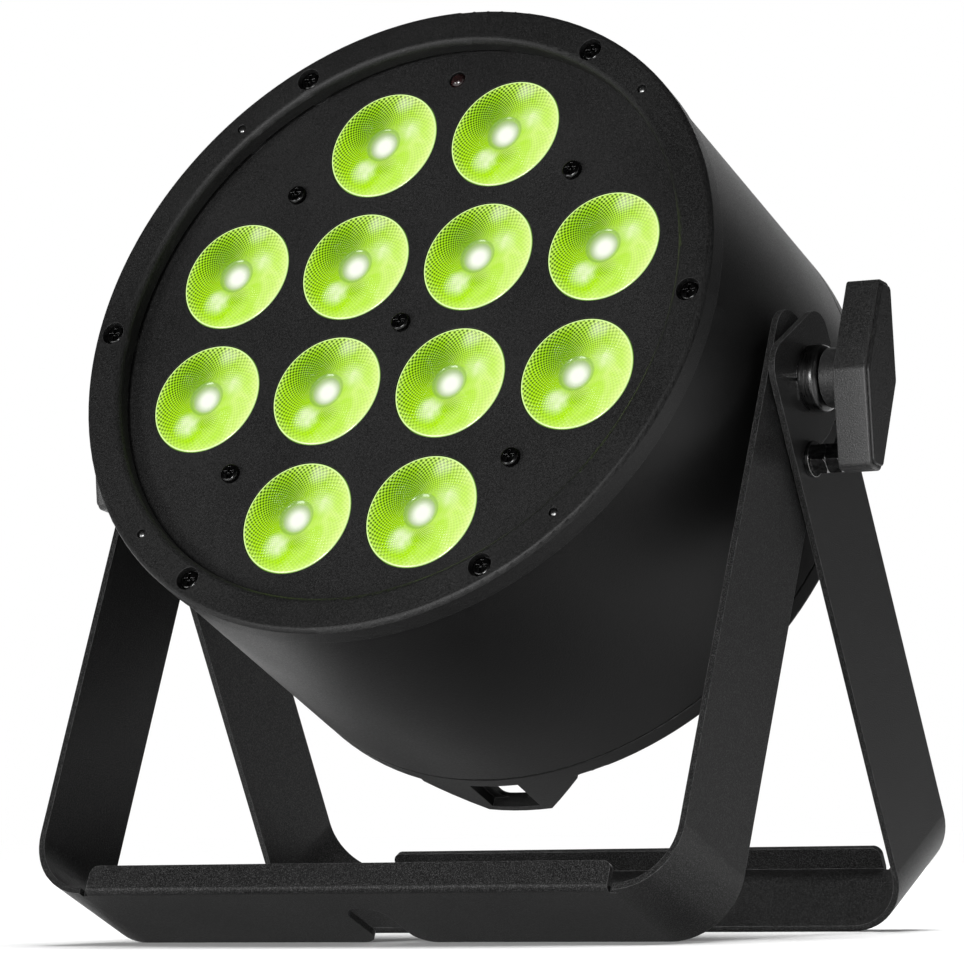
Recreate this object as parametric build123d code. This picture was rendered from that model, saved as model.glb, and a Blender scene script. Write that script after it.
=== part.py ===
from build123d import *
import math
import os

# A compact LED par light: a short drum housing with twelve lenses in a recessed front plate,
# held between two bent-strip brackets that share one pivot axis and fold past each other.
# Millimetres, +Z up, the light faces -Y. Head parts are drawn with the drum's axis along Y and
# the pivot at the origin, then tilted and lifted into place.

# ---- driving dimensions -------------------------------------------------------------------
PIVOT_Y = -1.8                 # puts the middle of the whole object over the origin
HEAD_TILT = 24.2               # how far the lenses look up
FRONT_LEAN = 23.5              # front bracket, from vertical
REAR_LEAN = 27.6               # rear bracket, from vertical

BEZEL_R = 98.9
BEZEL_INNER_R = 88.3
BEZEL_FACE = 5.0               # thickness of the ring
BEZEL_SKIRT = 7.0              # depth of its skirt
DRUM_R = 98.3
DRUM_WALL = 2.4
DRUM_END = 98.4                # depth where the drum meets the rear cover
COVER_START = 98.7
COVER_END = 105.6
COVER_WALL = 2.8
FRONT_Y = -COVER_END / 2       # the pivot sits halfway along the drum

PLATE_FRONT = 6.7
PLATE_BACK = 8.2
PLATE_R = 95.2
LENS_PITCH = 40.0
LENS_HOLE_R = 17.3
LENS_R = 17.1
PLATE_SCREW_AT = 45.2
SENSOR_Z = 79.9
BEZEL_SCREW_R = 93.3           # radius of the ring of bezel screws
BOARD_FRONT = 30.2
BOARD_BACK = 31.8
SINK_BASE_BACK = 36.8
SINK_FIN_BACK = 59.5
SINK_R = 80.0
CHASSIS_FRONT = 66.0
CHASSIS_BACK = 67.5
REAR_BOSS_FRONT = 78.0

STRIP = 1.8                    # bracket sheet thickness
STRIP_W = 36.4                 # bracket strip width
BEND_R = 18.5                  # outside radius of the big bends
FRONT_HALF = 102.7             # half the outside width of each bracket
REAR_HALF = 105.2
FRONT_LEN = 159.1              # pivot to the underside of the base
REAR_LEN = 163.2
ARM_TOP = 15.6                 # pivot to the end of an arm
ARM_CORNER = 8.0
LIP_H = 8.4
LIP_HALF = 82.8
SLOT_R = 6.25                  # open slot for an M12 hanging bolt

STUD_R = 4.0
RUN = 0.06                     # radial clearance round the studs
GUIDE_AT = 22.0                # pivot to the guide bolts
GUIDE_ANGLE = 25.0             # guide bolt at rest, ahead of the rear arm's centre line
GUIDE_R = 2.5
GUIDE_HALF = 3.1               # half width of the arc slots the guide bolts run in
OPEN_MORE = 3.0                # how much further the front bracket opens
FOLD_BACK = 50.0               # how far it folds back against the rear one
COLLAR_R = 9.4
HUB_R = 8.3                    # round boss on the back of a knob
KNOB_BACK = 117.3
KNOB_STEP = 127.2
KNOB_END = 128.0
KNOB_TURN = {"right": 8.0, "left": 10.0}

PIVOT_Z = FRONT_LEN * math.cos(math.radians(FRONT_LEAN)) + STRIP_W / 2 * math.sin(math.radians(FRONT_LEAN))
REAR_FOOT = REAR_LEN * math.cos(math.radians(REAR_LEAN)) + STRIP_W / 2 * math.sin(math.radians(REAR_LEAN))
PIVOT_Z = max(PIVOT_Z, REAR_FOOT)

PIVOT = Pos(0, PIVOT_Y, PIVOT_Z)
HEAD = PIVOT * Rot(-HEAD_TILT, 0, 0)
FRONT_BRACKET = PIVOT * Rot(-FRONT_LEAN, 0, 0) * Rot(0, 0, 180)
REAR_BRACKET = PIVOT * Rot(REAR_LEAN, 0, 0)
SIDES = {"right": 1, "left": -1}


# ---- helpers ------------------------------------------------------------------------------
def save(name, shape):
    """Write one sub-part; a list of solids becomes one group."""
    os.makedirs("parts", exist_ok=True)
    if isinstance(shape, list):
        shape = Compound(children=shape)
    export_step(shape, "parts/" + name + ".step")


def post(radius, depth0, depth1, x=0.0, z=0.0):
    """A cylinder along the drum axis between two depths behind the bezel's face."""
    low = Cylinder(radius, depth1 - depth0, align=(Align.CENTER, Align.CENTER, Align.MIN))
    return Pos(x, FRONT_Y + depth0, z) * Rot(-90, 0, 0) * low


def cone(radius0, radius1, depth0, depth1, x=0.0, z=0.0):
    """A cone along the drum axis, radius0 at depth0."""
    low = Cone(radius0, radius1, depth1 - depth0, align=(Align.CENTER, Align.CENTER, Align.MIN))
    return Pos(x, FRONT_Y + depth0, z) * Rot(-90, 0, 0) * low


def block(width, height, depth0, depth1, x=0.0, z=0.0):
    """A box between two depths behind the bezel's face."""
    return Pos(x, FRONT_Y + (depth0 + depth1) / 2, z) * Box(width, depth1 - depth0, height)


def bar(radius, x0, x1, y=0.0, z=0.0):
    """A cylinder along X."""
    low = Cylinder(radius, abs(x1 - x0), align=(Align.CENTER, Align.CENTER, Align.MIN))
    return Pos(min(x0, x1), y, z) * Rot(0, 90, 0) * low


def around(radius, count, start=0.0):
    """Places on a circle in the face of the drum, as (x, z)."""
    turns = [math.radians(start + 360.0 * k / count) for k in range(count)]
    return [(radius * math.cos(t), radius * math.sin(t)) for t in turns]


def corners(half_x, half_z):
    return [(sx * half_x, sz * half_z) for sx in (-1, 1) for sz in (-1, 1)]


def rim_at(shape, depth, radius):
    """The circular edge of a head part at one depth and radius."""
    y = FRONT_Y + depth
    found = []
    for edge in shape.edges().filter_by(GeomType.CIRCLE):
        if abs(edge.radius - radius) < 0.01 and abs(edge.center(CenterOf.BOUNDING_BOX).Y - y) < 0.01:
            found.append(edge)
    return found


def head(name, shape):
    """Save a head part, tilted and lifted into place."""
    if isinstance(shape, list):
        save(name, [HEAD * one for one in shape])
    else:
        save(name, HEAD * shape)


def phillips_screw(x, z, depth, head_r, head_t, shaft_r, length):
    """A round-headed cross-recess screw going in from the front at one depth."""
    top = post(head_r, depth, depth + head_t, x, z)
    top = fillet(rim_at(top, depth, head_r), head_t * 0.45)
    shaft = post(shaft_r, depth + head_t, depth + head_t + length, x, z)
    cross = head_r * 1.25
    slot = head_r * 0.28
    recess = block(cross, slot, depth, depth + head_t * 0.6, x, z)
    recess += block(slot, cross, depth, depth + head_t * 0.6, x, z)
    return top + shaft - recess


def rear_screw(x, z, depth, head_r, head_t, shaft_r, length):
    """The same screw going in from the back; depth is where its head ends."""
    top = post(head_r, depth - head_t, depth, x, z)
    top = fillet(rim_at(top, depth, head_r), head_t * 0.45)
    shaft = post(shaft_r, depth - head_t - length, depth - head_t, x, z)
    cross = head_r * 1.25
    slot = head_r * 0.28
    recess = block(cross, slot, depth - head_t * 0.6, depth, x, z)
    recess += block(slot, cross, depth - head_t * 0.6, depth, x, z)
    return top + shaft - recess


LENS_CENTRES = []
for row in (-1.5, -0.5, 0.5, 1.5):
    for column in (-1.5, -0.5, 0.5, 1.5):
        if abs(row) + abs(column) < 2.6:
            LENS_CENTRES.append((column * LENS_PITCH, row * LENS_PITCH))

BEZEL_SCREWS = around(BEZEL_SCREW_R, 6)
BEZEL_DIMPLES = around(BEZEL_SCREW_R, 4, 45)
PLATE_SCREWS = corners(PLATE_SCREW_AT, PLATE_SCREW_AT) + [(0.0, 0.0)]
COVER_SCREWS = around(91.8, 6, 30)
CHASSIS_LUGS = around(87.5, 4, 45)
BOARD_SCREWS = around(74.0, 4, 45)


# ---- front of the head --------------------------------------------------------------------
def make_front_bezel():
    ring = post(BEZEL_R, 0, BEZEL_FACE) - post(BEZEL_INNER_R, 0, BEZEL_FACE)
    skirt = post(BEZEL_R, BEZEL_FACE, BEZEL_SKIRT) - post(96.3, BEZEL_FACE, BEZEL_SKIRT)
    bezel = ring + skirt
    bezel = fillet(rim_at(bezel, 0, BEZEL_R), 1.4)
    bezel = fillet(rim_at(bezel, 0, BEZEL_INNER_R), 1.8)
    for x, z in BEZEL_SCREWS:
        bezel -= post(3.5, 0, 2.6, x, z)
        bezel -= post(1.75, 2.6, BEZEL_FACE, x, z)
    for x, z in BEZEL_DIMPLES:
        bezel -= post(1.4, 0, 1.2, x, z)
    head("front_bezel", bezel)
    head("bezel_screws", [phillips_screw(x, z, 0.7, 2.9, 1.85, 1.45, 16.0) for x, z in BEZEL_SCREWS])


def make_lens_plate():
    plate = post(PLATE_R, PLATE_FRONT, PLATE_BACK)
    for x, z in BEZEL_SCREWS + BEZEL_DIMPLES:
        plate += post(4.6, BEZEL_FACE + 0.1, PLATE_FRONT, x, z)
    plate &= post(PLATE_R, 0, PLATE_BACK)
    for x, z in BEZEL_SCREWS:
        plate -= post(1.75, 0, PLATE_BACK, x, z)
    for x, z in LENS_CENTRES:
        plate -= post(LENS_HOLE_R, 0, PLATE_BACK, x, z)
    for x, z in PLATE_SCREWS:
        plate -= post(1.75, 0, PLATE_BACK, x, z)
    plate -= post(2.6, 0, PLATE_BACK, 0, SENSOR_Z)
    head("lens_plate", plate)
    head("lens_plate_screws", [phillips_screw(x, z, 4.9, 2.8, 1.75, 1.45, 9.0) for x, z in PLATE_SCREWS])

    gasket = post(94.9, BEZEL_FACE + 0.1, PLATE_FRONT - 0.1) - post(91.4, 0, PLATE_FRONT)
    for x, z in BEZEL_SCREWS + BEZEL_DIMPLES:
        gasket -= post(4.8, 0, PLATE_FRONT, x, z)
    head("bezel_gasket", gasket.solids())

    dome = post(2.5, 6.0, 16.0, 0, SENSOR_Z)
    dome = fillet(rim_at(dome, 6.0, 2.5), 2.2)
    dome += block(8, 8, 12.0, 16.0, 0, SENSOR_Z)
    head("remote_sensor", dome)


def make_optics():
    lenses = []
    holders = []
    emitters = []
    for x, z in LENS_CENTRES:
        lens = post(LENS_R, 6.5, 9.0, x, z)
        lens = fillet(rim_at(lens, 6.5, LENS_R), 0.6)
        lens += cone(15.6, 6.0, 9.0, 27.0, x, z)
        lens -= post(3.8, 22.5, 27.0, x, z)
        lenses.append(lens)
        cup = post(LENS_R, 9.1, BOARD_FRONT - 0.1, x, z) - cone(16.1, 6.6, 9.1, 27.2, x, z)
        cup -= post(6.4, 27.0, BOARD_FRONT, x, z)
        holders.append(cup)
        chip = block(7.0, 7.0, BOARD_FRONT - 1.3, BOARD_FRONT - 0.05, x, z)
        chip += post(2.9, BOARD_FRONT - 3.4, BOARD_FRONT - 1.3, x, z)
        chip = fillet(rim_at(chip, BOARD_FRONT - 3.4, 2.9), 1.9)
        emitters.append(chip)
    head("lenses", lenses)
    head("lens_holders", holders)
    head("led_emitters", emitters)


def make_light_engine():
    posts = []
    for x, z in PLATE_SCREWS:
        spacer = post(3.4, PLATE_BACK + 0.05, BOARD_FRONT - 0.05, x, z)
        spacer -= post(1.55, PLATE_BACK, 18.5, x, z)
        posts.append(spacer)
    head("plate_standoffs", posts)

    board = post(SINK_R, BOARD_FRONT, BOARD_BACK - 0.05)
    for x, z in BOARD_SCREWS:
        board -= post(1.8, BOARD_FRONT, BOARD_BACK, x, z)
    head("led_board", board)

    sink = post(SINK_R, BOARD_BACK, SINK_BASE_BACK)
    for k in range(-8, 9):
        reach = math.sqrt(SINK_R ** 2 - (k * 9.0 + 1.0) ** 2) - 1.5
        sink += block(2.0, 2 * reach, SINK_BASE_BACK, SINK_FIN_BACK, k * 9.0, 0)
    for x, z in BOARD_SCREWS:
        sink -= post(1.5, BOARD_BACK, SINK_BASE_BACK - 0.6, x, z)
    head("heat_sink", sink)
    screws = [phillips_screw(x, z, BOARD_FRONT - 1.8, 2.7, 1.75, 1.4, 5.5) for x, z in BOARD_SCREWS]
    head("board_screws", screws)


# ---- the drum -----------------------------------------------------------------------------
def make_housing():
    bore_r = DRUM_R - DRUM_WALL
    drum = post(DRUM_R, BEZEL_SKIRT + 0.15, DRUM_END)
    drum = fillet(rim_at(drum, BEZEL_SKIRT + 0.15, DRUM_R), 0.35)
    drum = fillet(rim_at(drum, DRUM_END, DRUM_R), 0.35)
    drum -= post(bore_r, 0, DRUM_END)
    for x, z in BEZEL_SCREWS:
        drum += post(4.3, PLATE_BACK + 0.2, 26.0, x, z)
    for x, z in COVER_SCREWS:
        drum += post(4.6, REAR_BOSS_FRONT, 94.6, x, z) & post(DRUM_R - 0.5, 0, 120)
    for x, z in CHASSIS_LUGS:
        lug = post(7.5, CHASSIS_FRONT - 5.0, CHASSIS_FRONT - 0.1, x * 1.045, z * 1.045)
        drum += lug & post(DRUM_R - 0.5, 0, 120)
    for side in SIDES.values():
        drum += bar(12.5, side * 85.5, side * 98.9)
    for x, z in BEZEL_SCREWS:
        drum -= post(1.5, 0, 22.0, x, z)
    for x, z in COVER_SCREWS:
        drum -= post(1.5, 82.0, DRUM_END, x, z)
    for x, z in CHASSIS_LUGS:
        drum -= post(1.5, CHASSIS_FRONT - 5.0, CHASSIS_FRONT, x, z)
    for side in SIDES.values():
        drum -= bar(6.3, side * 85.5, side * 98.9)
    head("drum_housing", drum)

    inserts = []
    washers = []
    for side in SIDES.values():
        insert = bar(6.25, side * 85.6, side * 98.8)
        inserts.append(insert - bar(STUD_R + RUN, side * 85.0, side * 99.0))
        washer = bar(11.5, side * 99.0, side * 100.5)
        washers.append(washer - bar(5.0, side * 98.0, side * 101.0))
    head("pivot_inserts", inserts)
    head("friction_washers", washers)


def make_chassis():
    plate = post(84.0, CHASSIS_FRONT, CHASSIS_BACK)
    for x, z in CHASSIS_LUGS:
        plate += post(6.0, CHASSIS_FRONT, CHASSIS_BACK, x, z)
        plate -= post(1.7, CHASSIS_FRONT, CHASSIS_BACK, x, z)
    head("chassis_plate", plate)
    screw_end = CHASSIS_BACK + 1.8
    screws = [rear_screw(x, z, screw_end, 2.7, 1.75, 1.4, 6.0) for x, z in CHASSIS_LUGS]
    head("chassis_screws", screws)

    board_front = CHASSIS_BACK + 4.0
    board = block(124, 74, board_front, board_front + 1.6, 0, 22)
    for x, z in corners(57, 32):
        board -= post(1.7, board_front, board_front + 1.6, x, z + 22)
    head("power_board", board)
    spacers = []
    for x, z in corners(57, 32):
        spacers.append(post(3.2, CHASSIS_BACK + 0.05, board_front - 0.05, x, z + 22))
    head("board_spacers", spacers)

    top = board_front + 1.65
    parts = [block(26, 22, top, top + 15, -20, 26), block(18, 16, top, top + 12, 12, 40)]
    parts += [post(7.5, top, top + 17, 34, 22), post(7.5, top, top + 17, 34, 40)]
    parts += [block(3, 40, top, top + 14, -48, 22), block(12, 10, top, top + 9, 50, 6)]
    parts += [post(3.0, top, top + 8, x, 0) for x in (-36, -26, -16, -6, 4, 14)]
    head("power_components", parts)


# ---- rear cover and controls --------------------------------------------------------------
PANEL_W = 78.0
PANEL_H = 46.0
PANEL_Z = 30.0
PANEL_BACK = COVER_END + 1.6
BUTTON_XS = {"menu": -24.0, "down": -8.0, "up": 8.0, "enter": 24.0}
BUTTON_Z = PANEL_Z - 12.0
BUTTON_R = 4.0
DISPLAY_Z = PANEL_Z + 8.0
SOCKET_Z = -30.0
INLET_X = 14.0
OUTLET_X = 48.0
DATA_IN_X = -56.0
DATA_OUT_X = -25.0
FUSE_X = 31.0
FUSE_Z = -57.0
FLANGE_BACK = COVER_END + 2.2
EYE_WALL = 4.6                 # thickness of the safety eye's lug
EYE_START = COVER_END + 0.1
EYE_END = 117.3
EYE_HALF = 4.8


def safety_eye():
    """The lug below the drum's rear edge that takes a safety cable."""
    base_half = 25.4
    tip_half = 9.4
    tip = 119.8
    outline = Polyline((-base_half, COVER_START + 1), (-base_half, COVER_END), (-tip_half - 1, tip),
                       (tip_half + 1, tip), (base_half, COVER_END), (base_half, COVER_START + 1), close=True)
    lug = extrude(make_face(outline), 30)
    lug = Pos(0, FRONT_Y, -110) * lug
    lug &= post(DRUM_R, 90, 130) - post(DRUM_R - EYE_WALL, 90, 130)
    return lug


def eye_slot():
    """The slot in that lug: a wide pocket outside, narrowing to a rounded hole inside."""
    pocket = block(15.8, 8, COVER_END - 2.7, EYE_END, 0, -DRUM_R + EYE_WALL - 1.4 - 4)
    hole = block(2 * EYE_HALF, 12, EYE_START, EYE_END, 0, -DRUM_R)
    return pocket + fillet(hole.edges().filter_by(Axis.Z), 2.0)


def make_rear_cover():
    cover = post(DRUM_R, COVER_START, COVER_END)
    cover = fillet(rim_at(cover, COVER_END, DRUM_R), 2.0)
    cover = fillet(rim_at(cover, COVER_START, DRUM_R), 0.35)
    cover -= post(DRUM_R - DRUM_WALL, 0, COVER_END - COVER_WALL)
    cover += safety_eye()
    for x, z in COVER_SCREWS:
        cover += post(4.6, 94.8, COVER_END - COVER_WALL, x, z) & post(DRUM_R - DRUM_WALL - 0.3, 90, 110)
        cover -= post(1.7, 90, 110, x, z)
        cover -= post(3.4, COVER_END - 1.4, 110, x, z)
    cover -= eye_slot()
    cover -= block(PANEL_W - 8, PANEL_H - 8, 100, 108, 0, PANEL_Z)
    cover -= block(27.6, 20.4, 100, 108, INLET_X, SOCKET_Z)
    cover -= block(25.4, 21.4, 100, 108, OUTLET_X, SOCKET_Z)
    cover -= post(12.0, 100, 108, DATA_IN_X, SOCKET_Z)
    cover -= post(12.0, 100, 108, DATA_OUT_X, SOCKET_Z)
    cover -= post(6.8, 100, 108, FUSE_X, FUSE_Z)
    for side in (-1, 1):
        for k in range(7):
            cover -= block(26, 2.6, 100, 108, side * 60, 12 + 6.5 * k)
    for k in range(5):
        cover -= block(46, 2.6, 100, 108, 0, 60 + 6.0 * k)
    head("rear_cover", cover)
    screw_end = COVER_END + 0.4
    screws = [rear_screw(x, z, screw_end, 2.9, 1.75, 1.4, 18.0) for x, z in COVER_SCREWS]
    head("rear_cover_screws", screws)


def make_controls():
    panel = block(PANEL_W, PANEL_H, COVER_END + 0.1, PANEL_BACK, 0, PANEL_Z)
    panel -= block(46.2, 18.2, 100, 110, 0, DISPLAY_Z)
    for x in BUTTON_XS.values():
        panel -= post(BUTTON_R + 0.35, 100, 110, x, BUTTON_Z)
    head("control_panel", panel)
    head("display_window", block(46.0, 18.0, COVER_END + 0.1, PANEL_BACK - 0.2, 0, DISPLAY_Z))
    head("display_module", block(50.0, 19.0, 97.3, 105.2, 0, DISPLAY_Z))
    head("control_board", block(68.0, 37.0, 95.4, 97.0, 0, PANEL_Z))
    switches = [block(6, 6, 97.05, 99.2, x, BUTTON_Z) for x in BUTTON_XS.values()]
    head("button_switches", switches)
    for name, x in BUTTON_XS.items():
        cap = post(BUTTON_R, 100.9, PANEL_BACK + 1.6, x, BUTTON_Z)
        cap = fillet(rim_at(cap, PANEL_BACK + 1.6, BUTTON_R), 0.7)
        head("button_" + name, cap)


def make_mains_sockets():
    inlet = block(31, 24, COVER_END + 0.1, FLANGE_BACK, INLET_X, SOCKET_Z)
    inlet += block(27.2, 20.0, 91.0, COVER_END + 0.1, INLET_X, SOCKET_Z)
    inlet -= block(23.4, 16.0, 93.0, 110, INLET_X, SOCKET_Z)
    head("power_inlet", inlet)
    blades = []
    for dx, dz in ((-7.0, 2.0), (7.0, 2.0), (0.0, -2.0)):
        blades.append(block(2.0, 4.0, 93.05, 103.5, INLET_X + dx, SOCKET_Z + dz))
    head("inlet_pins", blades)

    outlet = block(29, 25, COVER_END + 0.1, FLANGE_BACK, OUTLET_X, SOCKET_Z)
    outlet += block(25.0, 21.0, 91.0, COVER_END + 0.1, OUTLET_X, SOCKET_Z)
    for dx, dz in ((-7.0, 2.0), (7.0, 2.0), (0.0, -2.0)):
        outlet -= block(2.6, 5.0, 95.0, 110, OUTLET_X + dx, SOCKET_Z + dz)
    head("power_outlet", outlet)


def make_data_sockets():
    male = block(26, 31, COVER_END + 0.1, FLANGE_BACK, DATA_IN_X, SOCKET_Z)
    male += post(11.8, 90.0, COVER_END + 0.1, DATA_IN_X, SOCKET_Z)
    male -= post(9.6, 93.0, 110, DATA_IN_X, SOCKET_Z)
    head("data_in_socket", male)
    pins = []
    for angle in (210, 330, 90):
        px = DATA_IN_X + 4.6 * math.cos(math.radians(angle))
        pz = SOCKET_Z + 4.6 * math.sin(math.radians(angle))
        pins.append(post(1.2, 93.05, 104.0, px, pz))
    head("data_in_pins", pins)

    female = block(26, 31, COVER_END + 0.1, FLANGE_BACK, DATA_OUT_X, SOCKET_Z)
    female += post(11.8, 90.0, COVER_END + 0.1, DATA_OUT_X, SOCKET_Z)
    female -= block(6.8, 4.4, 98.0, 110, DATA_OUT_X, SOCKET_Z + 9.6)
    for angle in (30, 150, 270):
        px = DATA_OUT_X + 4.2 * math.cos(math.radians(angle))
        pz = SOCKET_Z + 4.2 * math.sin(math.radians(angle))
        female -= post(1.4, 95.0, 110, px, pz)
    head("data_out_socket", female)
    latch = block(6.0, 3.6, 100.5, FLANGE_BACK + 1.4, DATA_OUT_X, SOCKET_Z + 9.6)
    head("data_out_latch", latch)

    screws = []
    for x in (DATA_IN_X, DATA_OUT_X):
        for sign in (-1, 1):
            screw_x = x + sign * 10.0
            screw_z = SOCKET_Z - sign * 12.8
            screws.append(rear_screw(screw_x, screw_z, FLANGE_BACK + 1.4, 2.0, 1.3, 1.1, 0.05))
    head("socket_screws", screws)


def make_fuse():
    holder = post(9.0, COVER_END + 0.1, FLANGE_BACK, FUSE_X, FUSE_Z)
    holder += post(6.6, 82.0, COVER_END + 0.1, FUSE_X, FUSE_Z)
    holder -= post(5.2, 83.5, 110, FUSE_X, FUSE_Z)
    head("fuse_holder", holder)
    cap = post(7.2, FLANGE_BACK + 0.35, FLANGE_BACK + 5.0, FUSE_X, FUSE_Z)
    cap = fillet(rim_at(cap, FLANGE_BACK + 5.0, 7.2), 0.6)
    cap += post(4.8, 85.0, FLANGE_BACK + 0.35, FUSE_X, FUSE_Z)
    cap -= post(2.8, 85.0, 106.0, FUSE_X, FUSE_Z)
    cap -= block(8.4, 1.4, FLANGE_BACK + 3.8, FLANGE_BACK + 5.0, FUSE_X, FUSE_Z)
    head("fuse_cap", cap)
    head("fuse", post(2.6, 85.6, 105.6, FUSE_X, FUSE_Z))


# ---- brackets -----------------------------------------------------------------------------
def bent_strip(half, length):
    """One bracket, arms hanging down -Z from the pivot and the lip on the +Y edge."""
    outer = Pos(0, 0, -length / 2) * Box(2 * half, STRIP_W, length)
    outer += Pos(0, 0, ARM_TOP / 2) * Box(2 * half, STRIP_W, ARM_TOP)
    bends = [e for e in outer.edges().filter_by(Axis.Y) if e.center().Z < -length + 0.1]
    outer = fillet(bends, BEND_R)
    room = length - STRIP + ARM_TOP + 2
    inner = Pos(0, 0, ARM_TOP + 2 - room / 2) * Box(2 * (half - STRIP), STRIP_W + 2, room)
    bends = [e for e in inner.edges().filter_by(Axis.Y) if e.center().Z < -length + STRIP + 0.1]
    inner = fillet(bends, BEND_R - STRIP)
    strip = outer - inner
    ends = [e for e in strip.edges().filter_by(Axis.X) if e.center().Z > ARM_TOP - 0.1]
    return fillet(ends, ARM_CORNER)


def add_lip(strip, length):
    """Turn the outer edge of the base up into a stiffening lip with relief notches."""
    edge = STRIP_W / 2
    lip = Pos(0, edge - STRIP / 2, -length + LIP_H / 2) * Box(2 * LIP_HALF, STRIP, LIP_H)
    tips = [e for e in lip.edges().filter_by(Axis.Y) if e.center().Z > -length + LIP_H - 0.1]
    lip = fillet(tips, 2.6)
    for side in (-1, 1):
        notch = Pos(side * (LIP_HALF + 0.9), edge - 1.2, -length + STRIP / 2)
        strip -= notch * Box(1.8, 2.4, STRIP + 2)
    strip += lip
    fold = [e for e in strip.edges().filter_by(Axis.X)
            if abs(e.center().Z + length) < 0.01 and abs(e.center().Y - edge) < 0.01 and e.length > LIP_HALF]
    return fillet(fold, STRIP)


def cut_hanging_slot(strip, length):
    """The U slot for a hanging bolt, open on the inner edge with rounded corners."""
    mouth = 6.0
    reach = STRIP_W / 2
    slot = Pos(0, 0, -length) * Cylinder(SLOT_R, 3 * STRIP)
    slot += Pos(0, -reach / 2, -length) * Box(2 * SLOT_R, reach, 3 * STRIP)
    flare = Pos(0, -reach + mouth / 2, -length) * Box(2 * (SLOT_R + mouth), mouth, 3 * STRIP)
    for side in (-1, 1):
        flare -= Pos(side * (SLOT_R + mouth), -reach + mouth, -length) * Cylinder(mouth, 4 * STRIP)
    return strip - slot - flare


def arc_slot(side):
    """An arc slot about the pivot through one arm of the rear bracket."""
    ease = 1.6
    first = math.radians(-GUIDE_ANGLE - OPEN_MORE - ease)
    last = math.radians(FOLD_BACK - GUIDE_ANGLE + ease)
    x0 = side * (REAR_HALF - 3)
    x1 = side * (REAR_HALF + 1)
    ring = bar(GUIDE_AT + GUIDE_HALF, x0, x1) - bar(GUIDE_AT - GUIDE_HALF, x0, x1)
    reach = 60.0
    fan = [(0.0, 0.0), (reach * math.sin(first), -reach * math.cos(first)), (0.0, -reach),
           (reach * math.sin(last), -reach * math.cos(last))]
    sector = Pos(min(x0, x1) - 1, 0, 0) * extrude(Plane.YZ * make_face(Polyline(*fan, close=True)), 6)
    slot = ring & sector
    for turn in (first, last):
        slot += bar(GUIDE_HALF, x0, x1, GUIDE_AT * math.sin(turn), -GUIDE_AT * math.cos(turn))
    return slot


def make_rear_bracket():
    strip = bent_strip(REAR_HALF, REAR_LEN)
    strip = cut_hanging_slot(add_lip(strip, REAR_LEN), REAR_LEN)
    for side in SIDES.values():
        strip -= bar(STUD_R + RUN, side * (REAR_HALF - 3), side * (REAR_HALF + 1))
        strip -= arc_slot(side)
    save("rear_bracket", REAR_BRACKET * strip)


def guide_place():
    """Centre line of the guide bolts in the front bracket's own frame, as (y, z)."""
    turn = math.radians(FRONT_LEAN + REAR_LEAN - GUIDE_ANGLE)
    return -GUIDE_AT * math.sin(turn), -GUIDE_AT * math.cos(turn)


def make_front_bracket():
    strip = bent_strip(FRONT_HALF, FRONT_LEN)
    strip = cut_hanging_slot(add_lip(strip, FRONT_LEN), FRONT_LEN)
    y, z = guide_place()
    for side in SIDES.values():
        strip -= bar(STUD_R + RUN, side * (FRONT_HALF - 3), side * (FRONT_HALF + 1))
        strip -= bar(GUIDE_R + 0.1, side * (FRONT_HALF - 3), side * (FRONT_HALF + 1), y, z)
    save("front_bracket", FRONT_BRACKET * strip)


def hex_nut(side, x0, thickness, y, z):
    """An M5 nut on a guide bolt, with both faces chamfered."""
    nut = extrude(RegularPolygon(4.0, 6, major_radius=False), thickness)
    nut &= Cone(4.15, 4.15 + thickness, thickness, align=(Align.CENTER, Align.CENTER, Align.MIN))
    nut &= Cone(4.15 + thickness, 4.15, thickness, align=(Align.CENTER, Align.CENTER, Align.MIN))
    nut -= Pos(0, 0, thickness / 2) * Cylinder(GUIDE_R + 0.05, thickness + 2)
    return Pos(side * x0, y, z) * Rot(0, 90 * side, 0) * nut


def make_guide_hardware():
    bolts = []
    washers = []
    nuts = []
    y, z = guide_place()
    inner_face = FRONT_HALF - STRIP
    for side in SIDES.values():
        bolt = bar(GUIDE_R, side * (inner_face - 0.5), side * 116.4, y, z)
        bolt += bar(4.6, side * (inner_face - 1.9), side * (inner_face - 0.05), y, z)
        bolts.append(FRONT_BRACKET * bolt)
        washer = bar(5.0, side * (REAR_HALF + 0.35), side * (REAR_HALF + 1.4), y, z)
        washers.append(FRONT_BRACKET * (washer - bar(GUIDE_R + 0.1, side * 100, side * 110, y, z)))
        nuts.append(FRONT_BRACKET * hex_nut(side, REAR_HALF + 1.45, 4.7, y, z))
        nuts.append(FRONT_BRACKET * hex_nut(side, REAR_HALF + 6.2, 4.4, y, z))
    save("guide_bolts", bolts)
    save("guide_washers", washers)
    save("guide_nuts", nuts)


# ---- pivot hardware and knobs -------------------------------------------------------------
def make_collars():
    collars = []
    washers = []
    for side in SIDES.values():
        washer = bar(7.6, side * (REAR_HALF + 0.02), side * (REAR_HALF + 1.2))
        washer -= bar(STUD_R + RUN, side * 100, side * 110)
        washer -= Pos(side * (REAR_HALF + 0.6), -6, 0) * Rot(20, 0, 0) * Box(4, 6, 1.0)
        washers.append(PIVOT * washer)
        collar = bar(COLLAR_R, side * (REAR_HALF + 1.25), side * 112.0)
        rims = collar.edges().filter_by(GeomType.CIRCLE)
        outer = [e for e in rims if abs(abs(e.center().X) - 112.0) < 0.01]
        collar = fillet(outer, 2.2)
        collars.append(PIVOT * (collar - bar(STUD_R + RUN, side * 100, side * 120)))
    save("lock_washers", washers)
    save("pivot_collars", collars)


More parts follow.
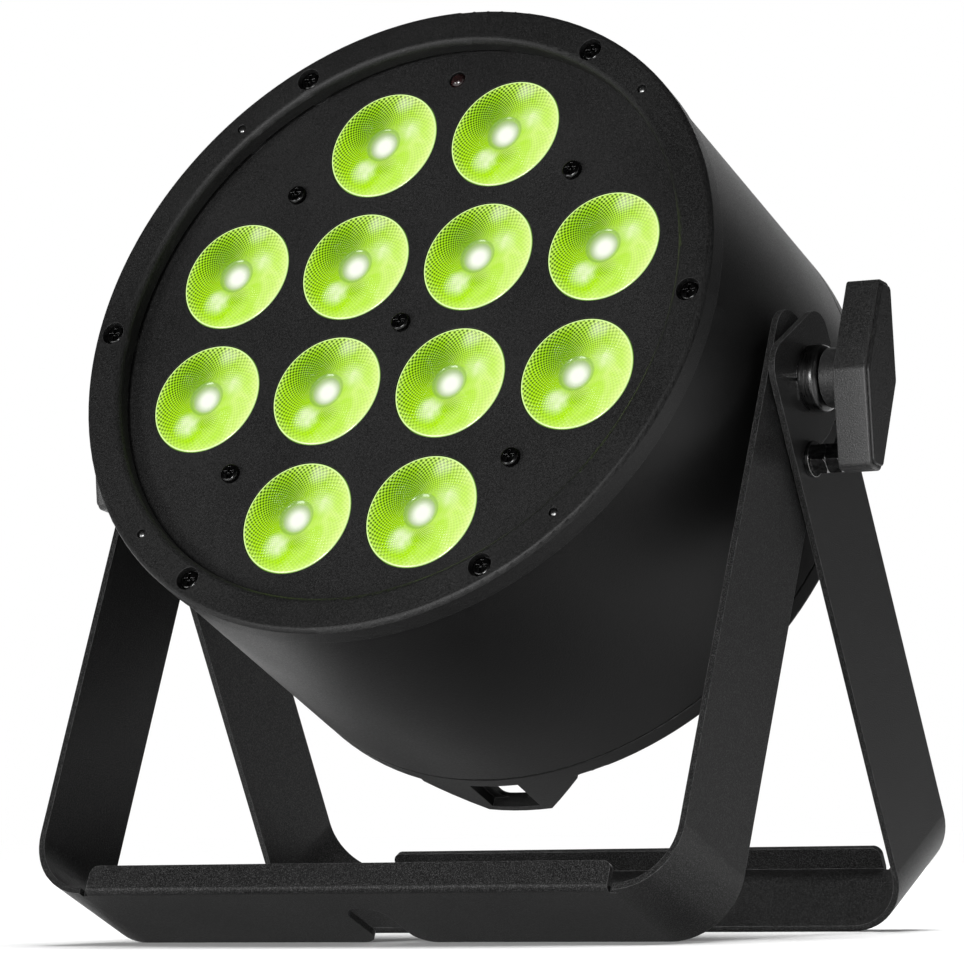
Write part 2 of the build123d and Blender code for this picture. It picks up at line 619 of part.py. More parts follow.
def lozenge(half_long, half_wide, half_tip, corner):
    """The long six-sided outline of a clamp knob; its waist is rounded twice as much as its tips."""
    outline = Polyline((-half_tip, half_long), (half_tip, half_long), (half_wide, 0), (half_tip, -half_long),
                       (-half_tip, -half_long), (-half_wide, 0), close=True)
    face = make_face(outline)
    face = fillet([v for v in face.vertices() if abs(v.Y) < 0.1], 2 * corner)
    return fillet([v for v in face.vertices() if abs(v.Y) > half_long - 0.1], corner)


def make_knob(name, side):
    turn = PIVOT * Rot(-KNOB_TURN[name], 0, 0)
    body = extrude(Plane.YZ * lozenge(26.5, 9.5, 3.1, 1.9), side * (KNOB_STEP - KNOB_BACK))
    body = Pos(side * KNOB_BACK, 0, 0) * body
    rims = [e for e in body.edges() if abs(abs(e.center().X) - KNOB_STEP) < 0.01]
    body = fillet(rims, 0.7)
    body += bar(HUB_R, side * 112.35, side * (KNOB_BACK + 0.5))
    body -= bar(STUD_R + 0.02, side * 110, side * 123.0)
    save("knob_" + name, turn * body)
    cap = extrude(Plane.YZ * lozenge(25.3, 8.7, 2.7, 1.6), side * (KNOB_END - KNOB_STEP - 0.02))
    cap = Pos(side * (KNOB_STEP + 0.02), 0, 0) * cap
    rims = [e for e in cap.edges() if abs(abs(e.center().X) - KNOB_END) < 0.01]
    save("knob_" + name + "_cap", turn * fillet(rims, 0.4))
    save("knob_" + name + "_stud", turn * bar(STUD_R, side * 87.0, side * 122.9))


make_front_bezel()
make_lens_plate()
make_optics()
make_light_engine()
make_housing()
make_chassis()
make_rear_cover()
make_controls()
make_mains_sockets()
make_data_sockets()
make_fuse()
make_rear_bracket()
make_front_bracket()
make_guide_hardware()
make_collars()
for knob_name, knob_side in SIDES.items():
    make_knob(knob_name, knob_side)
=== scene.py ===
# %% [markdown]
# # A compact LED par light
# The finished object is a short black drum with twelve lit lenses, held between two bent steel
# brackets. The measured model already gives every solid its true place, so this lesson adds what
# a measured model can't hold: finishes, light, and the fine optics of the lenses.
# We start by loading that model and keeping its size.

# %% Load the measured model
import bpy
import bmesh
import math
from mathutils import Matrix, Vector


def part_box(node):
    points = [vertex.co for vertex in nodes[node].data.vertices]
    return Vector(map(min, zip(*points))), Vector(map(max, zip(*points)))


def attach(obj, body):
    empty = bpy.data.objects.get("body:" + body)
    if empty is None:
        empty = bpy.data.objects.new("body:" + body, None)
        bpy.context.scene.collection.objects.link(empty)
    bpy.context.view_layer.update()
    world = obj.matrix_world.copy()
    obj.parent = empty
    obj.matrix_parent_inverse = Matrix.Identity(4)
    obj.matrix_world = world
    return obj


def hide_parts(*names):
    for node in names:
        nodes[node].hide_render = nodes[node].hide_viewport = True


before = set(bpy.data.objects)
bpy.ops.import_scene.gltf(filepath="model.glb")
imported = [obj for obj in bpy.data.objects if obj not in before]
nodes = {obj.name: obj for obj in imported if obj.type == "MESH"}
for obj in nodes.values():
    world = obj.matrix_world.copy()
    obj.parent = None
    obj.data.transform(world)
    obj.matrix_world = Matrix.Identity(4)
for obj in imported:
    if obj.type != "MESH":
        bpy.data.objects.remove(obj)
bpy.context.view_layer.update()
print("parts loaded:", len(nodes))

# %% [markdown]
# ## Where the head sits
# The head turns on the two knobs, so the middle of their collars gives the tilt axis. Everything
# on the head is easiest to model upright with that axis at the origin, and to tilt and lift once
# at the end, the way the real head is built on a bench and then hung in its brackets.

# %% The head's own frame
MM = 0.001
HEAD_TILT = math.radians(24.2)
BEZEL_FACE_Y = -52.8
collar_low, collar_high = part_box("pivot_collars")
tilt_axis = (collar_low + collar_high) / 2
head_place = Matrix.Translation(tilt_axis) @ Matrix.Rotation(-HEAD_TILT, 4, "X")
print("tilt axis, mm:", [round(v * 1000, 1) for v in tilt_axis])

# %% [markdown]
# ## The camera
# A long lens from low down and to the right flattens the perspective, as in a catalogue picture.
# The camera is turned by three axes rather than by angles, because its small roll is then exact.

# %% Set the camera
camera_data = bpy.data.cameras.new("catalogue_camera")
camera_data.lens = 181.77
camera_data.sensor_width = 36.0
camera = bpy.data.objects.new("catalogue_camera", camera_data)
bpy.context.scene.collection.objects.link(camera)
backward = Vector((0.49919, -0.86351, -0.07185)).normalized()
right = Vector((0.86512, 0.50135, -0.01477))
right = (right - backward * right.dot(backward)).normalized()
upward = backward.cross(right)
turned = Matrix((right, upward, backward)).transposed().to_4x4()
camera.matrix_world = Matrix.Translation((0.69615, -1.20458, 0.02983)) @ turned
bpy.context.scene.camera = camera
bpy.context.scene.view_settings.view_transform = "Standard"
print("camera looks from", [round(v, 2) for v in camera.location])

# %% [markdown]
# ## The studio
# Black paint shows almost nothing but reflections, so the light matters more than the colour.
# One wide, soft sun overhead whitens the floor. It is hidden from reflections, which would
# otherwise turn the paint grey. A lit sweep behind and to the left draws the bright edge of the
# drum, a panel on the right lifts the brackets a little, and a low one on the left brings out the
# grain of the front strip. A last small strip, low in front, lights the knob.

# %% Light the studio
world = bpy.data.worlds.new("studio_surround")
bpy.context.scene.world = world
world.use_nodes = True
surround = world.node_tree
surround.nodes.clear()
surround_out = surround.nodes.new("ShaderNodeOutputWorld")
seen = surround.nodes.new("ShaderNodeBackground")
seen.inputs["Color"].default_value = (1, 1, 1, 1)
seen.inputs["Strength"].default_value = 1.0
lit = surround.nodes.new("ShaderNodeBackground")
lit.inputs["Color"].default_value = (1, 1, 1, 1)
lit.inputs["Strength"].default_value = 0.05
choose = surround.nodes.new("ShaderNodeMixShader")
path = surround.nodes.new("ShaderNodeLightPath")
surround.links.new(path.outputs["Is Camera Ray"], choose.inputs["Fac"])
surround.links.new(lit.outputs[0], choose.inputs[1])
surround.links.new(seen.outputs[0], choose.inputs[2])
surround.links.new(choose.outputs[0], surround_out.inputs[0])


def add_sun(name, direction, strength, softness):
    """A sun shining along a direction; softness is its width in degrees."""
    data = bpy.data.lights.new(name, "SUN")
    data.energy = strength
    data.angle = math.radians(softness)
    lamp = bpy.data.objects.new(name, data)
    bpy.context.scene.collection.objects.link(lamp)
    lamp.rotation_euler = Vector(direction).to_track_quat("-Z", "Y").to_euler()
    return lamp


def add_panel(name, place, target, width, height, power):
    """A soft rectangular panel aimed at a target."""
    data = bpy.data.lights.new(name, "AREA")
    data.shape = "RECTANGLE"
    data.size = width
    data.size_y = height
    data.energy = power
    lamp = bpy.data.objects.new(name, data)
    bpy.context.scene.collection.objects.link(lamp)
    lamp.location = place
    lamp.rotation_euler = (Vector(target) - Vector(place)).to_track_quat("-Z", "Y").to_euler()
    return lamp


overhead = add_sun("overhead", (0.0, -0.25, -1.0), 3.75, 30)
overhead.visible_glossy = False
back_sweep = add_panel("back_sweep", (-0.8, 2.1, 0.7), (0, 0, 0.1), 1.9, 1.0, 8)
back_sweep.visible_camera = False
add_panel("right_panel", (1.5, -0.6, 0.85), (0.05, 0, 0.14), 0.8, 1.0, 1.3)
add_panel("left_panel", (-0.85, -1.3, 0.3), (0, -0.1, 0.03), 0.5, 0.4, 8)
add_panel("low_strip", (0.15, -1.5, 0.3), (0.1, 0, 0.14), 0.4, 0.25, 19)

# %% [markdown]
# ## The floor
# A wide pale disc, large enough that its edge disappears into the white surround. It isn't part of the
# object.

# %% Make the floor
floor_mesh = bmesh.new()
bmesh.ops.create_circle(floor_mesh, cap_ends=True, segments=96, radius=30.0)
floor_data = bpy.data.meshes.new("studio_floor")
floor_mesh.to_mesh(floor_data)
floor_mesh.free()
floor = bpy.data.objects.new("studio_floor", floor_data)
bpy.context.scene.collection.objects.link(floor)

# %% [markdown]
# ## A small kit for finishes
# Every finish below is a short chain of nodes. A few helpers keep those chains readable: they
# start a finish, add a node and fill in its inputs, do arithmetic, mix colours, and scatter a
# noise over the object's own coordinates, whose unit is the metre.

# %% Helpers for finishes
def start_finish(name):
    """A new material with an empty Principled shader. Returns (material, shader)."""
    finish = bpy.data.materials.new(name)
    finish.use_nodes = True
    finish.node_tree.nodes.clear()
    shader = finish.node_tree.nodes.new("ShaderNodeBsdfPrincipled")
    out = finish.node_tree.nodes.new("ShaderNodeOutputMaterial")
    finish.node_tree.links.new(shader.outputs[0], out.inputs["Surface"])
    return finish, shader


def add(finish, kind, settings=None, **inputs):
    """Adds a node. An input is a number, a colour or another node's output."""
    made = finish.node_tree.nodes.new("ShaderNode" + kind)
    for key, value in (settings or {}).items():
        setattr(made, key, value)
    for key, value in inputs.items():
        socket = made.inputs[int(key[1:])] if key[1:].isdigit() else made.inputs[key.replace("_", " ")]
        if isinstance(value, bpy.types.NodeSocket):
            finish.node_tree.links.new(value, socket)
        else:
            socket.default_value = value
    return made


def sums(finish, operation, a, b=0.0, c=0.0):
    """One step of arithmetic on numbers or outputs."""
    return add(finish, "Math", {"operation": operation}, i0=a, i1=b, i2=c).outputs[0]


def speckle(finish, size_mm, detail=2.0, stretch=(1, 1, 1)):
    """Noise whose lumps are about size_mm across. Returns its output from 0 to 1."""
    where = add(finish, "TexCoord").outputs["Object"]
    turned = add(finish, "Mapping", Vector=where, Scale=stretch).outputs[0]
    noise = add(finish, "TexNoise", Vector=turned, Scale=1000.0 / size_mm, Detail=detail)
    return noise.outputs["Fac"]


def spread(finish, value, low, high, to_low, to_high):
    """Stretches a value from one range to another, and holds it there."""
    made = add(finish, "MapRange", {"clamp": True}, Value=value, From_Min=low, From_Max=high,
               To_Min=to_low, To_Max=to_high)
    return made.outputs[0]


def blend_colours(finish, share, first, second):
    """Mixes two colours by a share from 0 to 1."""
    made = add(finish, "Mix", {"data_type": "RGBA"}, i0=share, i6=first, i7=second)
    return made.outputs[2]


def grey(value, warm=0.0):
    return (value * (1 + warm), value, value * (1 - warm), 1.0)


# %% [markdown]
# ## Edges that catch the light
# Real sheet and castings never have a perfectly sharp edge, and paint is thinnest there. The
# Bevel node rounds the shading at an edge without touching the mesh. Where its normal and the
# true one disagree we are on an edge, so the same node also tells us where paint has rubbed thin.

# %% Find the edges
def soft_edges(finish, radius_mm):
    """Returns (a rounded normal, a mask that is 1 on edges)."""
    rounded = add(finish, "Bevel", {"samples": 6}, Radius=radius_mm * MM).outputs[0]
    true_normal = add(finish, "NewGeometry").outputs["Normal"]
    agree = add(finish, "VectorMath", {"operation": "DOT_PRODUCT"}, i0=rounded, i1=true_normal)
    return rounded, spread(finish, agree.outputs["Value"], 0.99, 0.86, 0.0, 1.0)


# %% [markdown]
# ## Powder coat, castings and moulded plastic
# The drum, the ring, the plate, the brackets and the knobs are all black, but no two the same.
# They differ in how large the grain is, how much painted glint its colour carries and how much the edges have
# worn, so one recipe with those numbers as its inputs makes them all.

# %% The coated finish
def coated(name, dark, light, grain_mm, rough, relief_mm, edge_mm, worn, painted_glint=0.0, shine=0.5):
    """A black coated or moulded surface. dark and light are the two ends of its grain."""
    finish, shader = start_finish(name)
    grain = speckle(finish, grain_mm, 3.0)
    patches = speckle(finish, 38.0, 2.0)
    tone = sums(finish, "ADD", sums(finish, "MULTIPLY", grain, 0.8), sums(finish, "MULTIPLY", patches, 0.2))
    body = blend_colours(finish, spread(finish, tone, 0.41, 0.6, 0, 1), dark, light)
    # Lighter flecks in the colour are painted glints: the sparkle the grain shows where it catches the light.
    if painted_glint:
        painted_glints = spread(finish, speckle(finish, grain_mm * 0.8, 1.0, (1.13, 0.91, 1.07)), 0.48, 0.72, 0, 1)
        body = blend_colours(finish, sums(finish, "MULTIPLY", painted_glints, painted_glint), body, grey(0.32))
    rounded, edge = soft_edges(finish, edge_mm)
    rubbed = spread(finish, speckle(finish, 2.4, 4.0), 0.35, 0.62, 0.25, 1.0)
    edge = sums(finish, "MULTIPLY", sums(finish, "MULTIPLY", edge, rubbed), worn)
    body = blend_colours(finish, edge, body, grey(0.16))
    add_to = finish.node_tree.links.new
    add_to(body, shader.inputs["Base Color"])
    shine_noise = sums(finish, "ADD", sums(finish, "MULTIPLY", grain, 0.7),
                       sums(finish, "MULTIPLY", patches, 0.3))
    add_to(spread(finish, shine_noise, 0.3, 0.7, rough - 0.09, rough + 0.09), shader.inputs["Roughness"])
    relief = add(finish, "Bump", Height=grain, Distance=relief_mm * MM, Strength=0.8, Normal=rounded)
    add_to(relief.outputs[0], shader.inputs["Normal"])
    shader.inputs["Specular IOR Level"].default_value = shine
    return finish


drum_paint = coated("drum_paint", grey(0.002), grey(0.006), 0.5, 0.46, 0.05, 0.3, 0.3, shine=0.17)
ring_paint = coated("ring_paint", grey(0.002), grey(0.008),
                    0.45, 0.5, 0.08, 0.15, 0.35, painted_glint=0.02, shine=0.22)
plate_paint = coated("plate_paint", grey(0.002), grey(0.009),
                     0.42, 0.56, 0.1, 0.2, 0.3, painted_glint=0.03, shine=0.2)
bracket_paint = coated("bracket_paint", grey(0.0015), grey(0.008),
                       0.38, 0.4, 0.1, 0.22, 0.8, painted_glint=0.13, shine=0.14)
knob_plastic = coated("knob_plastic", grey(0.004), grey(0.015),
                      0.38, 0.4, 0.11, 0.4, 0.25, painted_glint=0.06, shine=0.42)
cap_plastic = coated("cap_plastic", grey(0.004), grey(0.012), 0.6, 0.42, 0.08, 0.25, 0.3, shine=0.3)
socket_plastic = coated("socket_plastic", grey(0.012), grey(0.024), 0.9, 0.34, 0.02, 0.3, 0.15)
button_rubber = coated("button_rubber", grey(0.03), grey(0.05), 0.3, 0.62, 0.02, 0.3, 0.1)
seal_rubber = coated("seal_rubber", grey(0.01), grey(0.018), 0.25, 0.75, 0.02, 0.2, 0.0, shine=0.3)
panel_foil = coated("panel_foil", grey(0.018), grey(0.028), 0.35, 0.5, 0.015, 0.25, 0.2)
print("coated finishes made")

# %% [markdown]
# ## Metals
# Screws and nuts are turned or pressed steel with a black or bright finish. The turning leaves
# fine rings round the part's axis, which a noise stretched across that axis imitates. Soft stains
# in the roughness keep them from looking like chrome.

# %% The metal finish
def metal(name, dark, light, rough, grain_mm=1.2, stretch=(1, 1, 1), edge_mm=0.2, worn=0.6, relief_mm=0.01):
    """A bare or plated metal; stretch draws its grain out into tool marks."""
    finish, shader = start_finish(name)
    marks = speckle(finish, grain_mm, 4.0, stretch)
    stains = speckle(finish, 5.0, 3.0)
    body = blend_colours(finish, spread(finish, marks, 0.35, 0.65, 0, 1), dark, light)
    rounded, edge = soft_edges(finish, edge_mm)
    bright = tuple(min(1.0, 2.2 * v) for v in light[:3]) + (1.0,)
    body = blend_colours(finish, sums(finish, "MULTIPLY", edge, worn), body, bright)
    finish.node_tree.links.new(body, shader.inputs["Base Color"])
    gloss = sums(finish, "ADD", sums(finish, "MULTIPLY", marks, 0.5), sums(finish, "MULTIPLY", stains, 0.5))
    uneven = spread(finish, gloss, 0.3, 0.7, rough - 0.08, rough + 0.1)
    finish.node_tree.links.new(uneven, shader.inputs["Roughness"])
    relief = add(finish, "Bump", Height=marks, Distance=relief_mm * MM, Strength=0.6, Normal=rounded)
    finish.node_tree.links.new(relief.outputs[0], shader.inputs["Normal"])
    shader.inputs["Metallic"].default_value = 1.0
    return finish


AROUND_X = (6.0, 0.4, 0.4)
black_screw = metal("black_screw", grey(0.012), grey(0.04), 0.22, 0.8)
plated_nut = metal("plated_nut", grey(0.06), grey(0.2), 0.1, 2.5, (1, 1, 3), relief_mm=0.06)
turned_collar = metal("turned_collar", grey(0.03), grey(0.07), 0.3, 1.6, AROUND_X, 0.4, 0.15, 0.012)
bright_steel = metal("bright_steel", grey(0.42), grey(0.6), 0.24, 0.8)
brass = metal("brass", (0.55, 0.36, 0.12, 1), (0.74, 0.52, 0.20, 1), 0.28, 0.8, AROUND_X)
mill_aluminium = metal("mill_aluminium", grey(0.52), grey(0.7), 0.38, 0.7, (0.3, 0.3, 8))
dark_stud = metal("dark_stud", grey(0.10), grey(0.2), 0.3, 0.6, AROUND_X)
print("metal finishes made")

# %% [markdown]
# ## Boards and small parts inside
# What sits inside the drum is hardly ever seen, but a student who opens the model should find
# more than grey blocks: solder-mask green with faint copper runs, white emitter board, and so on.

# %% Boards, components and the fuse
def board(name, dark, light, run_mm):
    """A printed board: solder mask over straight copper runs."""
    finish, shader = start_finish(name)
    where = add(finish, "TexCoord").outputs["Object"]
    cells = add(finish, "TexBrick", {"offset": 0.5}, Vector=where, Scale=1000.0 / run_mm, Mortar_Size=0.03)
    cells.inputs["Color1"].default_value = dark
    cells.inputs["Color2"].default_value = light
    cells.inputs["Mortar"].default_value = tuple(1.8 * v for v in light[:3]) + (1.0,)
    finish.node_tree.links.new(cells.outputs["Color"], shader.inputs["Base Color"])
    mottle = speckle(finish, 3.0)
    finish.node_tree.links.new(spread(finish, mottle, 0.3, 0.7, 0.25, 0.42), shader.inputs["Roughness"])
    raised = add(finish, "Bump", Height=cells.outputs["Fac"], Distance=0.03 * MM)
    finish.node_tree.links.new(raised.outputs[0], shader.inputs["Normal"])
    return finish


circuit_green = board("circuit_green", (0.01, 0.10, 0.035, 1), (0.015, 0.13, 0.045, 1), 6.0)
emitter_board = board("emitter_board", grey(0.62), grey(0.7), 9.0)
component_body = coated("component_body", (0.02, 0.03, 0.05, 1), (0.03, 0.045, 0.07, 1),
                        1.2, 0.4, 0.02, 0.3, 0.2)
fuse_ceramic = coated("fuse_ceramic", grey(0.6, 0.04), grey(0.72, 0.04), 1.0, 0.3, 0.01, 0.3, 0.0)
sensor_plastic = coated("sensor_plastic", (0.007, 0.003, 0.003, 1), (0.012, 0.004, 0.004, 1),
                        0.8, 0.18, 0.005, 0.2, 0.0)
window_plastic = coated("window_plastic", grey(0.004), grey(0.006), 4.0, 0.12, 0.002, 0.2, 0.0)
print("inner finishes made")

# %% [markdown]
# ## Lit emitters
# Each lens gathers the light of one emitter, a small dome on the board behind it. It is a
# yellow-green glow that is paler where it is brightest.

# %% The emitter finish
emitter_glow, emitter_shader = start_finish("emitter_glow")
glow_mottle = speckle(emitter_glow, 1.5)
glow_colour = blend_colours(emitter_glow, spread(emitter_glow, glow_mottle, 0.3, 0.7, 0, 1),
                            (0.55, 0.95, 0.25, 1), (0.85, 1.0, 0.6, 1))
emitter_glow.node_tree.links.new(glow_colour, emitter_shader.inputs["Base Color"])
emitter_glow.node_tree.links.new(glow_colour, emitter_shader.inputs["Emission Color"])
emitter_shader.inputs["Emission Strength"].default_value = 2.0

# %% [markdown]
# ## Give every measured part its finish
# One table of finish and parts is easier to check than a line for each part. A part that no
# finish claims stops the script, so nothing stays in plain grey.

# %% Assign the finishes
finish_of = {
    drum_paint: ["drum_housing", "rear_cover"],
    ring_paint: ["front_bezel"],
    plate_paint: ["lens_plate"],
    bracket_paint: ["front_bracket", "rear_bracket"],
    knob_plastic: ["knob_left", "knob_right"],
    cap_plastic: ["knob_left_cap", "knob_right_cap"],
    black_screw: ["bezel_screws", "lens_plate_screws", "rear_cover_screws", "board_screws",
                  "chassis_screws", "socket_screws"],
    plated_nut: ["guide_nuts", "guide_bolts", "guide_washers"],
    turned_collar: ["pivot_collars"],
    bright_steel: ["lock_washers", "inlet_pins", "data_out_latch"],
    brass: ["pivot_inserts", "data_in_pins", "plate_standoffs"],
    dark_stud: ["knob_left_stud", "knob_right_stud"],
    mill_aluminium: ["heat_sink", "chassis_plate", "board_spacers"],
    seal_rubber: ["friction_washers", "bezel_gasket"],
    socket_plastic: ["lens_holders", "power_inlet", "power_outlet", "data_in_socket", "data_out_socket",
                     "fuse_holder", "fuse_cap", "button_switches", "display_module"],
    button_rubber: ["button_menu", "button_down", "button_up", "button_enter"],
    panel_foil: ["control_panel"],
    window_plastic: ["display_window"],
    circuit_green: ["power_board", "control_board"],
    emitter_board: ["led_board"],
    component_body: ["power_components"],
    fuse_ceramic: ["fuse"],
    sensor_plastic: ["remote_sensor"],
    emitter_glow: ["led_emitters", "lenses"],
}
for finish, names in finish_of.items():
    for name in names:
        for place in nodes[name].material_slots:
            place.material = finish
unfinished = set(nodes) - {name for names in finish_of.values() for name in names}
if unfinished:
    raise RuntimeError(f"no finish for {sorted(unfinished)}")
print("finished parts:", sum(len(names) for names in finish_of.values()))

# %% [markdown]
# ## One lens
# A lens of this kind is a moulded cone with a round face. The face carries a flat disc in the
# middle, a low lip round it and a gently domed field out to a rolled rim. All of that is the same
# at every angle, so it is drawn once as half a section and spun round its axis.

# %% Spin one lens
LENS_RADIUS = 17.1
section = [(0.0, 7.0), (4.7, 7.0), (5.1, 6.72), (5.4, 6.62), (8.0, 6.56), (11.0, 6.54), (14.0, 6.6),
           (16.0, 6.72), (16.5, 6.66), (16.9, 6.72), (17.1, 7.0), (17.1, 9.0), (15.6, 9.0), (14.2, 11.5),
           (6.0, 27.0), (3.8, 27.0), (3.8, 22.5), (0.0, 22.5)]
lens_mesh = bmesh.new()
ring = [lens_mesh.verts.new((r * MM, (BEZEL_FACE_Y + depth) * MM, 0)) for r, depth in section]
lines = [lens_mesh.edges.new(pair) for pair in zip(ring, ring[1:])]
bmesh.ops.spin(lens_mesh, geom=ring + lines, cent=(0, 0, 0), axis=(0, 1, 0), dvec=(0, 0, 0),
               angle=2 * math.pi, steps=72, use_merge=True, use_duplicate=False)
bmesh.ops.remove_doubles(lens_mesh, verts=lens_mesh.verts, dist=1e-6)
bmesh.ops.recalc_face_normals(lens_mesh, faces=lens_mesh.faces)
for face in lens_mesh.faces:
    face.smooth = True
print("faces in one lens:", len(lens_mesh.faces))

# %% [markdown]
# ## A map on the face of the lens
# The lit face needs a pattern that is centred on each lens, so the object's coordinates are no
# use: they have one centre for all twelve. A UV map made from the lens's own width and height,
# before it is copied, travels with every copy.

# %% Map the lens, copy it twelve times and tilt the set
lens_map = lens_mesh.loops.layers.uv.new("lens_face")
for face in lens_mesh.faces:
    for loop in face.loops:
        across, up = loop.vert.co.x, loop.vert.co.z
        loop[lens_map].uv = (0.5 + across / (2 * LENS_RADIUS * MM), 0.5 + up / (2 * LENS_RADIUS * MM))
LENS_PITCH = 40.0
first = list(lens_mesh.verts) + list(lens_mesh.edges) + list(lens_mesh.faces)
steps = (-1.5, -0.5, 0.5, 1.5)
NO_CORNERS = 2.6
places = [(a * LENS_PITCH, b * LENS_PITCH) for b in steps for a in steps if abs(a) + abs(b) < NO_CORNERS]
for across, up in places[1:]:
    copy = bmesh.ops.duplicate(lens_mesh, geom=first)
    moved = [v for v in copy["geom"] if isinstance(v, bmesh.types.BMVert)]
    bmesh.ops.translate(lens_mesh, verts=moved, vec=(across * MM, 0, up * MM))
own = [v for v in first if isinstance(v, bmesh.types.BMVert)]
bmesh.ops.translate(lens_mesh, verts=own, vec=(places[0][0] * MM, 0, places[0][1] * MM))
bmesh.ops.transform(lens_mesh, matrix=head_place, verts=lens_mesh.verts)
lens_data = bpy.data.meshes.new("beam_lenses")
lens_mesh.to_mesh(lens_data)
lens_mesh.free()
beam_lenses = bpy.data.objects.new("beam_lenses", lens_data)
bpy.context.scene.collection.objects.link(beam_lenses)
print("lenses:", len(places), "faces:", len(lens_data.polygons))

# %% [markdown]
# ## Ball plugs in the ring
# Between its screws the ring has four shallow pits. Each holds a small steel ball, which catches
# the light as a point. A ball is a sphere of a few hundred faces, flattened so it stays in its pit.

# %% Set the four balls
PLUG_CIRCLE = 93.3
PLUG_RADIUS = 1.25
PLUG_DEPTH = 0.85
PLUG_FLATTENED = 0.62
plug_mesh = bmesh.new()
for turn in (45, 135, 225, 315):
    across, up = math.cos(math.radians(turn)), math.sin(math.radians(turn))
    at = (PLUG_CIRCLE * MM * across, (BEZEL_FACE_Y + PLUG_DEPTH) * MM, PLUG_CIRCLE * MM * up)
    flat = Matrix.Translation(at) @ Matrix.Diagonal((1.0, PLUG_FLATTENED, 1.0, 1.0))
    bmesh.ops.create_icosphere(plug_mesh, subdivisions=3, radius=PLUG_RADIUS * MM, matrix=flat)
bmesh.ops.transform(plug_mesh, matrix=head_place, verts=plug_mesh.verts)
for face in plug_mesh.faces:
    face.smooth = True
plug_data = bpy.data.meshes.new("ring_plugs")
plug_mesh.to_mesh(plug_data)
plug_mesh.free()
ring_plugs = bpy.data.objects.new("ring_plugs", plug_data)
bpy.context.scene.collection.objects.link(ring_plugs)
ring_plugs.data.materials.append(dark_stud)
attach(ring_plugs, "head")
print("faces in the plugs:", len(plug_data.polygons))

# %% [markdown]
# ## A kit for the lens face
# The glow of a lens is built from simple shapes laid over each other. Sums of outputs come up so
# often that they get three short helpers, and two more draw a soft spot and a soft step.

# %% Helpers for the lens face
lens_glow, lens_shader = start_finish("lens_glow")


def plus(a, b):
    return sums(lens_glow, "ADD", a, b)


def times(a, b):
    return sums(lens_glow, "MULTIPLY", a, b)


def larger(a, b):
    return sums(lens_glow, "MAXIMUM", a, b)


def step(value, low, high, to_low=0.0, to_high=1.0):
    """A smooth step between two values, by default from 0 to 1."""
    return add(lens_glow, "MapRange", {"interpolation_type": "SMOOTHSTEP", "clamp": True}, Value=value,
               From_Min=low, From_Max=high, To_Min=to_low, To_Max=to_high).outputs[0]


def lens_spot(x, y, radius, edge):
    """1 near one place on the lens face, falling to 0 at a distance."""
    here = add(lens_glow, "CombineXYZ", i0=x, i1=y, i2=0.0).outputs[0]
    away = add(lens_glow, "VectorMath", {"operation": "DISTANCE"}, i0=face_at, i1=here).outputs["Value"]
    return step(away, radius, radius + edge, 1.0, 0.0)


# %% [markdown]
# ## The spiral dimples
# The moulded face is covered with tiny dimples along two families of spirals. In polar
# coordinates a spiral is a straight line, angle plus a multiple of the logarithm of the radius,
# so two cosines crossing each other give the dimples. Whole numbers of turns, here 55 and 72,
# make each cosine meet itself where the angle jumps from half a turn to minus half a turn.

# %% Draw the dimples
FEW_ARMS = 55.0
MANY_ARMS = 72.0
face_map = add(lens_glow, "UVMap", {"uv_map": "lens_face"}).outputs[0]
face_at = add(lens_glow, "Mapping", Vector=face_map, Location=(-1, -1, 0), Scale=(2, 2, 0)).outputs[0]
parts = add(lens_glow, "SeparateXYZ", i0=face_at)
across, up = parts.outputs[0], parts.outputs[1]
radius = add(lens_glow, "VectorMath", {"operation": "LENGTH"}, i0=face_at).outputs["Value"]
angle = sums(lens_glow, "ARCTAN2", up, across)
spiral = sums(lens_glow, "LOGARITHM", larger(radius, 0.05), math.e)
one_phase = sums(lens_glow, "MULTIPLY_ADD", spiral, MANY_ARMS, times(angle, FEW_ARMS))
other_phase = sums(lens_glow, "MULTIPLY_ADD", spiral, -FEW_ARMS, times(angle, MANY_ARMS))
one_way = sums(lens_glow, "COSINE", one_phase)
other_way = sums(lens_glow, "COSINE", other_phase)
dimples = step(plus(one_way, other_way), -0.5, 0.7)

# %% [markdown]
# ## Where the dimples show
# Dimples look darkest where they turn away from the emitter. Here that is the left and upper
# side, with one more patch low down, so a soft mask makes the pattern stronger and weaker.

# %% Shade the face
shade_side = step(plus(times(across, -0.75), times(up, 0.55)), -0.5, 0.55)
shade_top = lens_spot(-0.38, 0.42, 0.05, 0.55)
low_patch = lens_spot(0.12, -0.42, 0.02, 0.3)
shade = plus(sums(lens_glow, "MULTIPLY_ADD", shade_side, 0.75, 0.14),
             plus(times(shade_top, 0.45), times(low_patch, 0.5)))
dark_dots = times(dimples, sums(lens_glow, "MINIMUM", shade, 1.0))
waves = add(lens_glow, "TexNoise", Vector=face_at, Scale=2.6, Detail=2.0, Distortion=1.2).outputs["Fac"]
drift = spread(lens_glow, plus(times(across, 0.5), waves), 0.35, 1.1, 0.0, 0.75)
paleness = sums(lens_glow, "MINIMUM", plus(drift, times(step(radius, 0.8, 0.99), 0.35)), 1.0)
glow = blend_colours(lens_glow, paleness, (0.46, 0.83, 0.01, 1), (0.82, 0.98, 0.34, 1))
glow = blend_colours(lens_glow, times(shade_top, 0.6), glow, (0.12, 0.3, 0.01, 1))
glow = blend_colours(lens_glow, dark_dots, glow, (0.02, 0.05, 0.0, 1))

# %% [markdown]
# ## Hot spots, disc and rim
# The emitter itself shows through the flat disc in the middle, and its reflections make three
# paler spots. A dark lip rounds the disc off, and the rolled edge glows before the outline.

